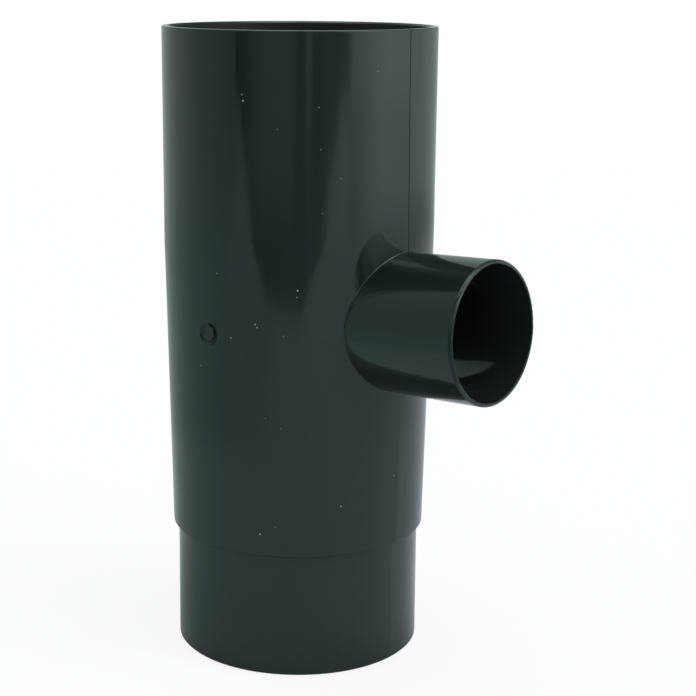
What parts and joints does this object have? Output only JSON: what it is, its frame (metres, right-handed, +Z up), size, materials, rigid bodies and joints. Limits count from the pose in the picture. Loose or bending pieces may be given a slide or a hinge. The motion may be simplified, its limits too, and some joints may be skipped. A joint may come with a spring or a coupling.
{
  "type": "downpipe branch",
  "caption": "Straight rainwater downpipe fitting with a socket above, a spigot below and a short side tube that lets in a smaller pipe.",
  "frame": {"origin": "centre of the spigot's lower end, on the main axis", "axes": "+Z up the main axis from the spigot to the socket, +X the way the side tube points, seen from above"},
  "size_m": [0.1465, 0.106, 0.244],
  "materials": {
    "dark_plastic": "smooth moulded gloss, anthracite grey"
  },
  "bodies": {
    "root": {"branch_fitting": "dark_plastic"}
  },
  "joints": []
}
